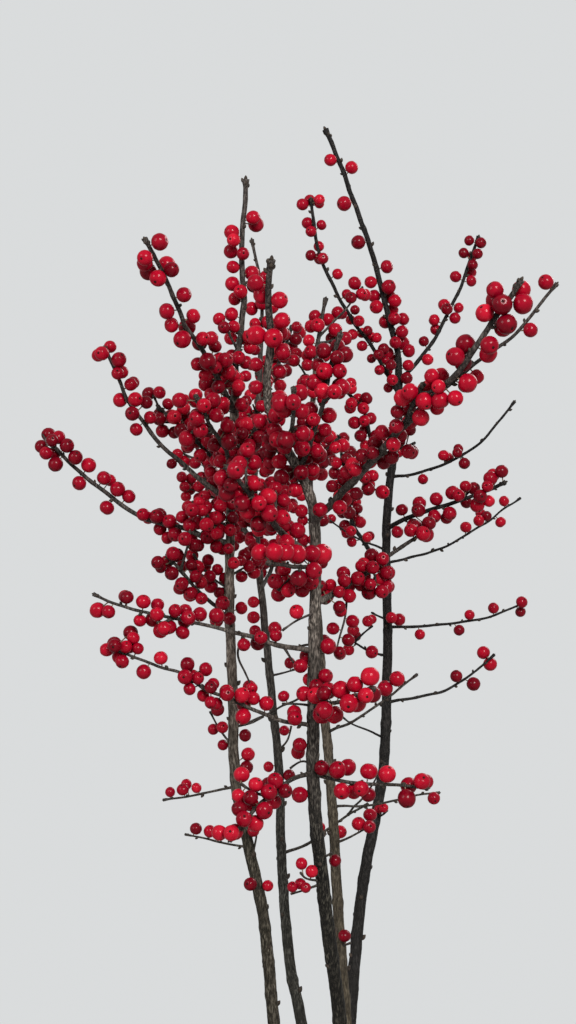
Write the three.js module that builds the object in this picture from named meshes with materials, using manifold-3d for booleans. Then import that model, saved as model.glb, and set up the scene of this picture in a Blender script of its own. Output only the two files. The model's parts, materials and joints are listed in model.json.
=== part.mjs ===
// A potted winterberry shrub in winter: five bare stems, their boughs, and the berried twigs of the crown.
// Millimetres, +Z up. The origin is under the middle of the pot, on the surface that it stands on.
import * as THREE from "three";
import { mergeVertices } from "three/addons/utils/BufferGeometryUtils.js";
import Module from "manifold-3d";

const wasm = await Module();
wasm.setup();

// Driving sizes
const BERRY_RADIUS = 5.3;
const MM_PER_PIXEL = 0.58;
const EYE_DISTANCE = 930;
const EYE_HEIGHT = 566;
const EYE_ACROSS = -24.4;
const GAP = 0.3;

// Pot and soil
const POT_HEIGHT = 162;
const POT_TOP_RADIUS = 95;
const POT_FOOT_RADIUS = 66;
const POT_WALL = 8;
const POT_FLOOR = 10;
const RIM_HEIGHT = 30;
const RIM_STEP = 5;
const BEVEL = 2;
const SOIL_LEVEL = 150;
const SOIL_FALL = 3;
const POT_SIDES = 28;

// The photograph's frame is 576 pixels across and 1024 down
const MIDDLE_ACROSS = 288;
const MIDDLE_DOWN = 512;

// How the crown grows
const SEED = 41;
const STEM_SIDES = 7;
const STEM_STEPS = 17;
const BOUGH_SIDES = 5;
const BOUGH_STEPS = 6;
const TWIG_SIDES = 3;
const TWIG_STEP = 16;
const SPUR_SIDES = 3;
const COLLAR = 3.5;
const ROOT_FLARE = 0.55;
const FLARE_HEIGHT = 22;
const NODE_PITCH = 11;
const TURN = THREE.MathUtils.degToRad(137.5);
const SPUR_EVERY = 3;
const SPUR_FRUIT = 5;
const PAIR_FRUIT = 4;
const SPUR_LENGTH = 15;
const SPUR_RADIUS = 0.95;
const SPUR_RISE = 0.7;
const FORWARD = 0.35;
const BERRY_SEAT = 0.74;
const BERRY_SPACING = 1.6;
const TIP_KNOB = 0.6;
const KNOB_LENGTH = 5;
const BALL_STEP = 1.5;
const CLEARANCE = 0.7;

const BARK = new THREE.MeshStandardMaterial({ color: 0x5b544b, roughness: 0.8, metalness: 0 });
const BERRY = new THREE.MeshStandardMaterial({ color: 0xb3101c, roughness: 0.35, metalness: 0 });
const CLAY = new THREE.MeshStandardMaterial({ color: 0xb06a48, roughness: 0.75, metalness: 0 });
const SOIL = new THREE.MeshStandardMaterial({ color: 0x33261c, roughness: 0.95, metalness: 0 });

// Each point of a limb is [pixels across, pixels down, mm behind the pot's axis], seen in the photograph.
// A foot is [mm across, mm behind] on the soil. Thick is the radius in mm at the start and the end, and a
// stem with a taper above 1 stays thick for longer.
const STEMS = {
  stem_left: {
    foot: [-20, 0],
    bends: [
      [274, 1024, -3], [264, 921, -6], [249, 847, -5], [236, 786, -4], [233, 700, -2], [229.5, 567, 2],
    ],
    end: [236, 372, 0],
    thick: [3.9, 2.4],
    taper: 1,
  },
  stem_back: {
    foot: [-4, 12],
    bends: [
      [302, 1024, 26], [291, 969, 34], [282, 870, 42], [279, 770, 48], [265.5, 636, 53], [255, 500, 53],
    ],
    end: [262, 330, 46],
    thick: [3.9, 1.4],
    taper: 1,
  },
  stem_front: {
    foot: [12, -14],
    bends: [
      [340, 1024, -26], [326, 912, -40], [314, 798, -49], [314, 651, -56], [311, 500, -66],
      [277, 431, -86], [267, 392, -98],
    ],
    end: [271, 345, -108],
    thick: [3.9, 2],
    taper: 2.6,
  },
  stem_middle: {
    foot: [18, 3],
    bends: [
      [346.6, 1024, 8], [339, 921, 13], [331.7, 798, 16], [322, 680, 15], [314, 560, 12], [310, 460, 8],
    ],
    end: [316, 362, 10],
    thick: [3.4, 1.4],
    taper: 2,
  },
  stem_right: {
    foot: [9, 19],
    bends: [
      [350, 1024, 36], [363, 884, 52], [382.5, 774, 62], [387.5, 650, 71], [387, 515, 80], [399, 410, 85],
    ],
    end: [398, 358, 88],
    thick: [4.1, 2.3],
    taper: 1,
  },
};

// A bough leaves its stem at the point named from.
const BOUGHS = {
  bough_front_right: {
    parent: "stem_front",
    from: [316, 520],
    bends: [[350, 484.5, -92], [400, 430, -140]],
    end: [448, 382, -172],
    thick: [2.2, 1.6],
  },
  bough_front_left: {
    parent: "stem_front",
    from: [314, 560],
    bends: [[284, 534, -86]],
    end: [262, 511, -106],
    thick: [1.9, 1.5],
  },
  bough_left_low: {
    parent: "stem_front",
    from: [311, 726],
    bends: [[278, 719, -60], [250, 708, -66]],
    end: [213, 693, -72],
    thick: [1.2, 0.95],
  },
  bough_left_upper: {
    parent: "stem_front",
    from: [314, 652],
    bends: [[281, 646, -60], [256, 638, -62]],
    end: [207, 625, -66],
    thick: [1.5, 1],
  },
  bough_left_mid: {
    parent: "stem_left",
    from: [228, 543],
    bends: [[205, 538, 3], [184.5, 529, 6]],
    end: [151, 520, 10],
    thick: [1.7, 1.4],
  },
  bough_left_high: {
    parent: "stem_left",
    from: [228, 502],
    bends: [[198, 478.5, -4]],
    end: [171.5, 454.5, -8],
    thick: [1.6, 1.3],
  },
  bough_left_top: {
    parent: "stem_left",
    from: [234, 412],
    bends: [[222, 386, -22]],
    end: [206, 356, -46],
    thick: [1.8, 1.4],
  },
  bough_right_mid: {
    parent: "stem_front",
    from: [315, 604],
    bends: [[346, 586, -40]],
    end: [378, 566, -28],
    thick: [1.9, 1.3],
  },
  bough_right: {
    parent: "stem_right",
    from: [387, 530],
    bends: [[404, 519, 66]],
    end: [436, 508, 54],
    thick: [1.5, 1.3],
  },
  bough_back_left: {
    parent: "stem_back",
    from: [259, 560],
    bends: [[246, 530, 82]],
    end: [222, 496, 120],
    thick: [1.7, 1.4],
  },
  bough_back_right: {
    parent: "stem_right",
    from: [387, 590],
    bends: [[376, 562, 106]],
    end: [354, 526, 140],
    thick: [1.7, 1.4],
  },
};

// A mass goes on from its parent's end where no point named from is given, and else leaves the parent there.
// Fruit has a sign for each even step from a mass's foot to its tip: a number is that many berries round it,
// a small letter one berry at its left, right, over or under it, and a capital two there. Plump is how large
// its berries are.
const MASSES = {
  twigs_left_leader: {
    parent: "stem_left",
    bends: [[243.5, 306, -2], [242, 250, -5]],
    tip: [246.7, 180, -8],
    thick: 1.9,
    fruit: "443L2222LR00",
  },
  twigs_back_leader: {
    parent: "stem_back",
    bends: [[259.5, 280, 44]],
    tip: [252, 239, 42],
    thick: 1.2,
    fruit: "442100",
  },
  twigs_front_leader: {
    parent: "stem_front",
    bends: [[268.5, 308, -118]],
    tip: [271, 260, -130],
    thick: 2,
    fruit: "3R2l0",
    plump: 1.15,
  },
  twigs_middle_leader: {
    parent: "stem_middle",
    bends: [[320, 335, 16]],
    tip: [325.4, 298, 22],
    thick: 1.4,
    fruit: "33210",
  },
  twigs_right_leader: {
    parent: "stem_right",
    bends: [[385, 300, 90], [369, 243, 92], [354, 203, 94], [341, 165, 96]],
    tip: [325.4, 129, 97],
    thick: 1.9,
    fruit: "5r333lr0l00l0rl00",
    plump: 1.08,
  },
  twigs_left_top: {
    parent: "bough_left_top",
    bends: [[185, 325, -66], [169, 284, -88]],
    tip: [145, 239, -108],
    thick: 1.4,
    fruit: "3R32lr04Lr",
    plump: 1.08,
  },
  twigs_left_high: {
    parent: "bough_left_high",
    bends: [[140, 418, -14], [126, 396, -18], [114, 368, -22]],
    tip: [104, 347, -26],
    thick: 1.3,
    fruit: "000RR2R2r3",
    plump: 0.95,
  },
  twigs_left_mid: {
    parent: "bough_left_mid",
    bends: [[108, 495, 8], [78, 470, 2]],
    tip: [50, 443, -4],
    thick: 1.4,
    fruit: "200oOoouoo036",
  },
  twigs_left_upper: {
    parent: "bough_left_upper",
    bends: [[148, 612, -72], [113, 603, -76]],
    tip: [93, 594, -80],
    thick: 1,
    fruit: "15542OU0",
    plump: 0.95,
  },
  twigs_left_low: {
    parent: "bough_left_low",
    bends: [[184, 675, -74], [160, 667.5, -72]],
    tip: [118, 650, -70],
    thick: 0.95,
    fruit: "4420o1o4",
    plump: 0.9,
  },
  twigs_left_inner: {
    parent: "stem_left",
    from: [229, 619],
    bends: [[203, 595, -10], [178.5, 568, -16]],
    tip: [167, 556, -18],
    thick: 1.2,
    fruit: "2104455",
    plump: 0.95,
  },
  twigs_left_foot_upper: {
    parent: "stem_left",
    from: [236, 786],
    bends: [[206, 793, -4]],
    tip: [162, 800, -8],
    thick: 0.75,
    fruit: "00oOo",
    plump: 0.8,
  },
  twigs_left_foot_lower: {
    parent: "stem_left",
    from: [248, 848],
    bends: [[226, 843.5, -8], [204, 838, -9]],
    tip: [185, 834, -10],
    thick: 0.7,
    fruit: "00oo",
    plump: 0.8,
  },
  twigs_front_low: {
    parent: "stem_front",
    from: [312, 772],
    bends: [[283, 785, -76], [265, 799, -88], [249, 816, -98]],
    tip: [229, 841, -108],
    thick: 1.3,
    fruit: "0000443322",
    plump: 1.04,
  },
  twigs_front_mid: {
    parent: "bough_front_left",
    bends: [[246, 489, -116]],
    tip: [226, 466, -122],
    thick: 1.4,
    fruit: "43545",
  },
  twigs_front_knot: {
    parent: "stem_front",
    from: [314, 567],
    bends: [[296, 566, -92]],
    tip: [268, 562, -118],
    thick: 1.3,
    fruit: "OO2OOO",
    plump: 1.25,
  },
  twigs_front_cluster: {
    parent: "stem_front",
    from: [313, 700],
    bends: [[338, 702, -86]],
    tip: [374, 689, -98],
    thick: 1.3,
    fruit: "O22333",
    plump: 1.15,
  },
  twigs_front_rising: {
    parent: "stem_left",
    from: [229, 478],
    bends: [[226, 450, -30], [212, 428, -52]],
    tip: [196, 396, -66],
    thick: 1.3,
    fruit: "01123454",
    plump: 1.05,
  },
  twigs_front_centre: {
    parent: "stem_front",
    from: [300, 470],
    bends: [[316, 428, -92], [327, 385, -98]],
    tip: [340, 333, -106],
    thick: 1.4,
    fruit: "3333333440",
    plump: 1.02,
  },
  twigs_front_ahead: {
    parent: "stem_front",
    from: [281, 439],
    bends: [[292, 428, -118]],
    tip: [294, 388, -134],
    thick: 1.3,
    fruit: "21223",
    plump: 1.12,
  },
  twigs_right_front: {
    parent: "bough_front_right",
    bends: [[472, 352, -180], [496, 317, -188]],
    tip: [521, 280, -196],
    thick: 1.6,
    fruit: "0r1l1rr0LR2210",
    plump: 1.12,
  },
  twigs_right_outer: {
    parent: "bough_front_right",
    from: [436, 395],
    bends: [[488, 355, -160], [521, 328, -163]],
    tip: [557, 282, -168],
    thick: 1,
    fruit: "0u1000r00l",
    plump: 0.95,
  },
  twigs_right_knot: {
    parent: "bough_front_right",
    from: [404, 426],
    bends: [[412, 408, -158]],
    tip: [424, 384, -166],
    thick: 1.3,
    fruit: "034",
    plump: 0.98,
  },
  twigs_right_top: {
    parent: "stem_right",
    from: [400, 381],
    bends: [[422, 357, 96], [447, 316, 104], [464, 280, 110]],
    tip: [478, 236, 114],
    thick: 1.3,
    fruit: "00rl022202232",
    plump: 0.88,
  },
  twigs_centre_top: {
    parent: "stem_right",
    from: [400, 394],
    bends: [[374, 351, 72], [340, 299, 60], [318, 247, 54]],
    tip: [311, 198, 48],
    thick: 1.3,
    fruit: "1233332210131214",
    plump: 0.82,
  },
  twigs_right_high: {
    parent: "stem_right",
    from: [391, 478],
    bends: [[422, 472, 70], [448, 462, 62], [483, 440, 52]],
    tip: [514, 401, 44],
    thick: 0.95,
    fruit: "00u02300000",
    plump: 0.82,
  },
  twigs_right_mid: {
    parent: "bough_right",
    bends: [[477, 495, 46]],
    tip: [506, 482, 40],
    thick: 1.3,
    fruit: "oUOOOUuoOo",
  },
  twigs_right_far: {
    parent: "stem_right",
    from: [387, 564],
    bends: [[444, 547, 104], [483, 524, 122]],
    tip: [520, 498, 134],
    thick: 0.85,
    fruit: "0000000ooOuo0",
    plump: 0.85,
  },
  twigs_right_lower: {
    parent: "stem_right",
    from: [388, 628],
    bends: [[448, 624, 96], [489, 617, 106]],
    tip: [523, 604, 116],
    thick: 0.95,
    fruit: "00u00uo0o02",
    plump: 0.9,
  },
  twigs_right_low: {
    parent: "stem_right",
    from: [387, 703],
    bends: [[443, 691, 78], [465, 679, 84]],
    tip: [494, 655, 90],
    thick: 0.95,
    fruit: "00000ou02",
  },
  twigs_right_inner: {
    parent: "bough_right_mid",
    bends: [[404, 546, -20]],
    tip: [431, 526, -14],
    thick: 1.3,
    fruit: "400O3",
    plump: 1.02,
  },
  twigs_middle_low: {
    parent: "stem_middle",
    from: [327, 732],
    bends: [[353, 722, 2], [386, 699, -4]],
    tip: [417, 674, -8],
    thick: 0.85,
    fruit: "00000oo0",
    plump: 1.08,
  },
  twigs_middle_foot: {
    parent: "stem_middle",
    from: [332, 806],
    bends: [[370, 806, 4], [416, 795, -2]],
    tip: [440, 792, -4],
    thick: 0.75,
    fruit: "000000r",
    plump: 0.9,
  },
  twigs_front_foot: {
    parent: "stem_front",
    from: [312, 774],
    bends: [[351, 783, -64], [404, 786, -74]],
    tip: [428, 788, -78],
    thick: 1.1,
    fruit: "oO23o22",
    plump: 1.08,
  },
  twigs_centre_foot: {
    parent: "stem_back",
    from: [281, 854],
    bends: [[309, 843, 56], [341, 820, 72]],
    tip: [368, 803, 86],
    thick: 0.95,
    fruit: "000oU000",
    plump: 0.9,
  },
  twigs_centre_low: {
    parent: "stem_right",
    from: [388, 656],
    bends: [[368, 650, 54]],
    tip: [350, 640, 46],
    thick: 0.85,
    fruit: "0013",
    plump: 0.9,
  },
  twigs_centre_right: {
    parent: "stem_right",
    from: [392, 458],
    bends: [[374, 446, 60], [363, 410, 50]],
    tip: [342, 387, 44],
    thick: 1.4,
    fruit: "1133344",
    plump: 0.9,
  },
  twigs_left_behind: {
    parent: "stem_back",
    from: [256, 510],
    bends: [[222, 468, 44], [196, 441, 42]],
    tip: [158, 406, 38],
    thick: 1.4,
    fruit: "1233434555",
  },
  twigs_back_left: {
    parent: "bough_back_left",
    bends: [[198, 452, 148]],
    tip: [186, 400, 168],
    thick: 1.4,
    fruit: "3323322332",
  },
  twigs_back_high: {
    parent: "stem_back",
    from: [258, 410],
    bends: [[276, 372, 96]],
    tip: [292, 326, 136],
    thick: 1.3,
    fruit: "022354444",
  },
  twigs_back_right: {
    parent: "bough_back_right",
    bends: [[346, 480, 162]],
    tip: [338, 436, 178],
    thick: 1.4,
    fruit: "33433433",
  },
  twigs_back_mid: {
    parent: "stem_back",
    from: [262, 590],
    bends: [[276, 556, 108]],
    tip: [288, 488, 150],
    thick: 1.3,
    fruit: "002445555",
  },
};

const UP = new THREE.Vector3(0, 0, 1);

// Where a pixel of the photograph lies at a depth behind the pot's axis.
function spot([across, down, behind]) {
  const scale = MM_PER_PIXEL * (1 + behind / EYE_DISTANCE);
  return new THREE.Vector3(
    EYE_ACROSS + (across - MIDDLE_ACROSS) * scale,
    behind,
    EYE_HEIGHT + (MIDDLE_DOWN - down) * scale,
  );
}

// Random numbers from 0 to 1 that are the same on every run.
function seeded(start) {
  const factor = 16807;
  const modulus = 2147483647;
  let state = start * 7919 + 1;
  return () => {
    state = (state * factor) % modulus;
    return state / modulus;
  };
}

// A limb: its first straight step, then even steps along a smooth line through the other points, with a
// radius at each end. A stem flares at its foot, and a twig ends in a fat knob of buds.
function limb([start, ...points], thick, steps, { taper = 1, flare = 0, knob = 0 } = {}) {
  const smooth = new THREE.CatmullRomCurve3(points, false, "centripetal");
  const joints = steps === 1 ? [start, ...points] : [start, ...smooth.getSpacedPoints(steps - 1)];
  const curve = new THREE.CurvePath();
  for (let i = 0; i < steps; i++) curve.add(new THREE.LineCurve3(joints[i], joints[i + 1]));
  const length = curve.getLength();
  const rings = [0, ...curve.getCurveLengths().map((reached) => reached / length)];
  const radius = (part) => {
    const height = part * length;
    const spread = flare * Math.max(0, 1 - height / FLARE_HEIGHT) ** 2;
    const swelling = knob * Math.max(0, 1 - (length - height) / KNOB_LENGTH);
    return THREE.MathUtils.lerp(thick[0], thick[1], part ** taper) * (1 + spread + swelling);
  };
  return { curve, length, radius, rings };
}

// The place on a limb that the photograph shows nearest to a pixel.
function placeNear(parent, [across, down]) {
  const tries = 200;
  let best = { away: Infinity };
  for (let i = 0; i <= tries; i++) {
    const part = i / tries;
    const point = parent.curve.getPoint(part);
    const pixel = spot([across, down, point.y]);
    const away = pixel.distanceTo(point);
    if (away < best.away) best = { away, part, point };
  }
  return best;
}

// A limb that leaves its parent's side, at right angles to the bark, 0.3 mm clear of it.
function sideStart(parent, from, next) {
  const { part, point } = placeNear(parent, from);
  const tangent = parent.curve.getTangent(part);
  const out = next.clone().sub(point);
  out.addScaledVector(tangent, -out.dot(tangent)).normalize();
  const start = point.clone().addScaledVector(out, parent.radius(part) + GAP);
  return [start, start.clone().addScaledVector(out, COLLAR)];
}

// A limb that goes on from its parent's end, 0.3 mm clear of it.
function endStart(parent) {
  const tangent = parent.curve.getTangent(1);
  const start = parent.curve.getPoint(1).addScaledVector(tangent, GAP);
  return [start, start.clone().addScaledVector(tangent, COLLAR)];
}

// Two directions at right angles to a tangent that turn with it, but not about it.
function crossAxes(tangent) {
  const turn = new THREE.Quaternion().setFromUnitVectors(UP, tangent);
  return {
    across: new THREE.Vector3(1, 0, 0).applyQuaternion(turn),
    ahead: new THREE.Vector3(0, 1, 0).applyQuaternion(turn),
  };
}

// A round limb: a cylinder whose rings are set along the curve, with flat ends.
function limbGeometry({ curve, radius, rings }, sides) {
  const steps = rings.length - 1;
  const geometry = new THREE.CylinderGeometry(1, 1, 1, sides, steps);
  const frames = rings.map((part) => curve.getTangent(part)).map(crossAxes);
  const position = geometry.getAttribute("position");
  const corner = new THREE.Vector3();
  for (let i = 0; i < position.count; i++) {
    corner.fromBufferAttribute(position, i);
    const ring = Math.round((corner.y + 0.5) * steps);
    const place = curve.getPoint(rings[ring]);
    const wide = radius(rings[ring]);
    place.addScaledVector(frames[ring].ahead, corner.z * wide);
    place.addScaledVector(frames[ring].across, corner.x * wide);
    position.setXYZ(i, place.x, place.y, place.z);
  }
  return geometry;
}

function solid(geometry) {
  geometry.deleteAttribute("normal");
  geometry.deleteAttribute("uv");
  const merged = mergeVertices(geometry, 1e-4);
  const made = new wasm.Manifold(
    new wasm.Mesh({
      numProp: 3,
      vertProperties: new Float32Array(merged.getAttribute("position").array),
      triVerts: new Uint32Array(merged.index.array),
    }),
  );
  return made.volume() < 0 ? solidReversed(merged) : made;
}

// The same closed surface with its faces turned outwards.
function solidReversed(merged) {
  const triVerts = new Uint32Array(merged.index.array).reverse();
  const vertProperties = new Float32Array(merged.getAttribute("position").array);
  return new wasm.Manifold(new wasm.Mesh({ numProp: 3, vertProperties, triVerts }));
}

// Pieces fused to one body. A sealed hollow or a loose scrap is a smaller body, and is left out.
function fuse(pieces) {
  const bodies = wasm.Manifold.union(pieces).simplify(0.01).decompose();
  return bodies.reduce((most, body) => (body.volume() > most.volume() ? body : most));
}

function mesh(name, body, material) {
  const { vertProperties, triVerts } = body.getMesh();
  const geometry = new THREE.BufferGeometry();
  geometry.setAttribute("position", new THREE.BufferAttribute(vertProperties, 3));
  geometry.setIndex(new THREE.BufferAttribute(triVerts, 1));
  geometry.computeVertexNormals();
  const made = new THREE.Mesh(geometry, material);
  made.name = name;
  return made;
}

// What is taken up already: balls along every limb and one for every berry.
const balls = [];

function takeLimb(owner, { curve, length, radius }) {
  const steps = Math.ceil(length / BALL_STEP);
  for (let i = 0; i <= steps; i++) {
    balls.push({ owner, centre: curve.getPoint(i / steps), radius: radius(i / steps) });
  }
}

function isFree(owner, centre, radius) {
  return balls.every(
    (ball) => ball.owner === owner || ball.centre.distanceTo(centre) > ball.radius + radius + CLEARANCE,
  );
}

// A direction that leaves a line at right angles, turned about it.
function sideways(tangent, turn) {
  const level = new THREE.Vector3().crossVectors(tangent, UP);
  if (level.length() < 0.05) level.set(1, 0, 0);
  return level.normalize().applyAxisAngle(tangent, turn);
}

// How many berries each sign of a fruit pattern stands for, and on which side of the twig.
const SIDES = { l: [-1, 0, 0], r: [1, 0, 0], o: [0, 0, 1], u: [0, 0, -1] };

function readFruit(signs) {
  return [...signs].map((sign) => {
    const side = SIDES[sign.toLowerCase()];
    if (side) return { berries: sign === sign.toLowerCase() ? 1 : 2, side };
    return { berries: Number(sign) };
  });
}

// Of the clusters between two parts of a twig, the one with the most berries, and how many all have.
function ripest(clusters, start, end) {
  const placed = clusters.map((cluster, i) => ({ ...cluster, part: (i + 0.5) / clusters.length }));
  const inside = placed.filter(({ part }) => start <= part && part < end);
  const none = { berries: 0 };
  const most = inside.reduce((best, cluster) => (cluster.berries > best.berries ? cluster : best), none);
  return { ...most, total: inside.reduce((sum, { berries }) => sum + berries, 0) };
}

// The direction to one side of the photograph, at right angles to a line.
function toward(side, tangent) {
  const out = new THREE.Vector3(...side);
  out.y -= FORWARD;
  return out.addScaledVector(tangent, -out.dot(tangent)).normalize();
}

// A berry sits on a twig, sunk into it, and away from the mass's other berries.
function berryOn(mass, twig, part, out, detail) {
  const size = BERRY_RADIUS * mass.plump * (0.94 + 0.12 * detail());
  const seat = twig.radius(part) * 0.5 + size * BERRY_SEAT;
  const centre = twig.curve.getPoint(part).addScaledVector(out, seat);
  const crowded = mass.fruit.some((other) => other.centre.distanceTo(centre) < size * BERRY_SPACING);
  if (crowded || !isFree(mass.name, centre, size)) return;
  mass.fruit.push({ centre, size, tilt: detail() * Math.PI });
}

// A short side twig that rises a little and bears three berries near its end.
function growSpur(mass, twig, part, turn, detail) {
  const start = twig.curve.getPoint(part);
  const tangent = twig.curve.getTangent(part);
  const heading = sideways(tangent, turn).addScaledVector(tangent, SPUR_RISE).normalize();
  const length = SPUR_LENGTH * (0.6 + 0.8 * detail());
  const middle = start.clone().addScaledVector(heading, length / 2);
  const end = start.clone().addScaledVector(heading, length).addScaledVector(UP, length * 0.15);
  if (!isFree(mass.name, middle, BERRY_RADIUS / 2) || !isFree(mass.name, end, BERRY_RADIUS)) return;
  const spur = limb([start, end], [SPUR_RADIUS, SPUR_RADIUS * 0.8], 1);
  mass.spurs.push(spur);
  const level = spur.curve.getTangent(1);
  berryOn(mass, spur, 0.95, sideways(level, turn), detail);
  berryOn(mass, spur, 0.85, sideways(level, turn + Math.PI), detail);
  berryOn(mass, spur, 0.5, sideways(level, turn + Math.PI / 2), detail);
}

// A mass: a main twig with nodes one after another. Where its pattern has fruit, a node bears a berry, or a
// pair where the fruit is thick, and every few nodes a spur.
function growMass(name, twig, signs, plump, number) {
  const mass = { name, plump, spurs: [], fruit: [] };
  const clusters = readFruit(signs);
  const draw = seeded(SEED + number);
  let turn = draw() * 2 * Math.PI;
  let along = 0;
  for (let node = 0; along < twig.length; node++) {
    const next = along + NODE_PITCH * (0.75 + 0.5 * draw());
    const { total, part, side } = ripest(clusters, along / twig.length, next / twig.length);
    const detail = seeded(SEED + 100 * (number + 1) + node);
    if (node % SPUR_EVERY === 1 && total >= SPUR_FRUIT) {
      growSpur(mass, twig, part, turn, detail);
    } else if (total > 0) {
      const tangent = twig.curve.getTangent(part);
      berryOn(mass, twig, part, side ? toward(side, tangent) : sideways(tangent, turn), detail);
      if (total >= PAIR_FRUIT) berryOn(mass, twig, part, sideways(tangent, turn + Math.PI), detail);
    }
    turn += TURN;
    along = next;
  }
  mass.spurs.forEach((spur) => takeLimb(name, spur));
  mass.fruit.forEach(({ centre, size }) => balls.push({ owner: name, centre, radius: size }));
  return mass;
}

function berryGeometry({ centre, size, tilt }) {
  const geometry = new THREE.IcosahedronGeometry(size);
  geometry.rotateX(tilt);
  geometry.rotateZ(tilt * 2);
  return geometry.translate(centre.x, centre.y, centre.z);
}

function massSolid(twig, { spurs, fruit }) {
  return fuse([
    solid(limbGeometry(twig, TWIG_SIDES)),
    ...spurs.map((spur) => solid(limbGeometry(spur, SPUR_SIDES))),
    ...fruit.map((berry) => solid(berryGeometry(berry))),
  ]);
}

// The pot's inside narrows evenly from its mouth to its floor.
function insideRadius(height) {
  const mouth = POT_TOP_RADIUS - RIM_STEP - POT_WALL;
  const floor = POT_FOOT_RADIUS - POT_WALL;
  const part = (height - POT_FLOOR) / (POT_HEIGHT - BEVEL - POT_FLOOR);
  return THREE.MathUtils.lerp(floor, mouth, part);
}

function potGeometry() {
  const mouth = insideRadius(POT_HEIGHT - BEVEL);
  const rimUnder = POT_HEIGHT - RIM_HEIGHT;
  return lathe([
    [0, 0],
    [POT_FOOT_RADIUS - BEVEL, 0],
    [POT_FOOT_RADIUS, BEVEL],
    [POT_TOP_RADIUS - RIM_STEP, rimUnder],
    [POT_TOP_RADIUS, rimUnder + BEVEL],
    [POT_TOP_RADIUS, POT_HEIGHT - BEVEL],
    [POT_TOP_RADIUS - BEVEL, POT_HEIGHT],
    [mouth + BEVEL, POT_HEIGHT],
    [mouth, POT_HEIGHT - BEVEL],
    [insideRadius(POT_FLOOR), POT_FLOOR],
    [0, POT_FLOOR],
  ]);
}

// The soil fills the pot, 0.3 mm clear of it, level round the stems and lower at the wall.
function soilGeometry() {
  const bottom = POT_FLOOR + GAP;
  const edge = SOIL_LEVEL - SOIL_FALL;
  const level = insideRadius(edge) * 0.6;
  return lathe([
    [0, bottom],
    [insideRadius(bottom) - GAP, bottom],
    [insideRadius(edge) - GAP, edge],
    [level, SOIL_LEVEL],
    [0, SOIL_LEVEL],
  ]);
}

// A round solid about the upright axis, from an outline of [radius, height].
function lathe(outline) {
  const points = outline.map(([radius, height]) => new THREE.Vector2(radius, height));
  const geometry = new THREE.LatheGeometry(points, POT_SIDES);
  return geometry.rotateX(Math.PI / 2);
}

// The flat cut at a stem's foot lies level, just over the soil.
function levelFoot(geometry, height) {
  const position = geometry.getAttribute("position");
  for (let i = 0; i < position.count; i++) {
    if (position.getZ(i) < height + 0.5) position.setZ(i, height);
  }
  return geometry;
}

const plant = new THREE.Group();
plant.name = "potted_winterberry";
plant.add(mesh("pot", solid(potGeometry()), CLAY));
plant.add(mesh("soil", solid(soilGeometry()), SOIL));

const limbs = {};
const footHeight = SOIL_LEVEL + GAP;
for (const [name, { foot, bends, end, thick, taper }] of Object.entries(STEMS)) {
  const ground = new THREE.Vector3(foot[0], foot[1], footHeight);
  const above = ground.clone().addScaledVector(UP, FLARE_HEIGHT / 2);
  const route = [ground, above, ...bends.map(spot), spot(end)];
  limbs[name] = limb(route, thick, STEM_STEPS, { taper, flare: ROOT_FLARE });
  const geometry = limbGeometry(limbs[name], STEM_SIDES);
  plant.add(mesh(name, solid(levelFoot(geometry, footHeight)), BARK));
}

for (const [name, { parent, from, bends, end, thick }] of Object.entries(BOUGHS)) {
  const start = sideStart(limbs[parent], from, spot(bends[0]));
  limbs[name] = limb([...start, ...bends.map(spot), spot(end)], thick, BOUGH_STEPS);
  plant.add(mesh(name, solid(limbGeometry(limbs[name], BOUGH_SIDES)), BARK));
}

for (const [name, { parent, from, bends, tip, thick }] of Object.entries(MASSES)) {
  const start = from ? sideStart(limbs[parent], from, spot(bends[0])) : endStart(limbs[parent]);
  const route = [...start, ...bends.map(spot), spot(tip)];
  const steps = Math.max(4, Math.round(start[0].distanceTo(spot(tip)) / TWIG_STEP));
  limbs[name] = limb(route, [thick, thick * 0.75], steps, { knob: TIP_KNOB });
}
Object.entries(limbs).forEach(([name, each]) => takeLimb(name, each));

Object.entries(MASSES).forEach(([name, { fruit, plump = 1 }], number) => {
  const grown = growMass(name, limbs[name], fruit, plump, number);
  plant.add(mesh(name, massSolid(limbs[name], grown), BERRY));
});

export default plant;
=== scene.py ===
import json
import math
import random
from collections import namedtuple

import bpy
import numpy as np
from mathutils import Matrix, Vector, noise
from numpy.linalg import norm

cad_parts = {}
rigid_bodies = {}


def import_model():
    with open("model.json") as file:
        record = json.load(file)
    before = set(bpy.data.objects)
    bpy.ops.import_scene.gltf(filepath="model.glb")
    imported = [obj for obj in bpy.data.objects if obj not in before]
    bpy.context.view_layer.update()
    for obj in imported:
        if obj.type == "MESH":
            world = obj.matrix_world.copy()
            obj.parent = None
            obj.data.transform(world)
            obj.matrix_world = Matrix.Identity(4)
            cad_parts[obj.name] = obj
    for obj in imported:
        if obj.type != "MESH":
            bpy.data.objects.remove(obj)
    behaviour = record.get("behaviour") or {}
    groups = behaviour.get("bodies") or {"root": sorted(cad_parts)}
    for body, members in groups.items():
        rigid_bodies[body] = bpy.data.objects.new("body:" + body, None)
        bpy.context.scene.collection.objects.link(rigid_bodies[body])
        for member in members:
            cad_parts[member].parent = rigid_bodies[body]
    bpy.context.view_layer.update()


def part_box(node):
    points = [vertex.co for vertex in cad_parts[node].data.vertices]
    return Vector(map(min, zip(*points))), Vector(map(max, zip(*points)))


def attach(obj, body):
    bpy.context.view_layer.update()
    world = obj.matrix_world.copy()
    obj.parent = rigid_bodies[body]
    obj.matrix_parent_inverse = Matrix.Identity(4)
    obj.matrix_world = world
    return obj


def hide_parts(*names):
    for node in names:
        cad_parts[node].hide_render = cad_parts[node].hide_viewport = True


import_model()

# Driving sizes, in metres
MM = 0.001
BERRY_RADIUS = 4.22 * MM
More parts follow.
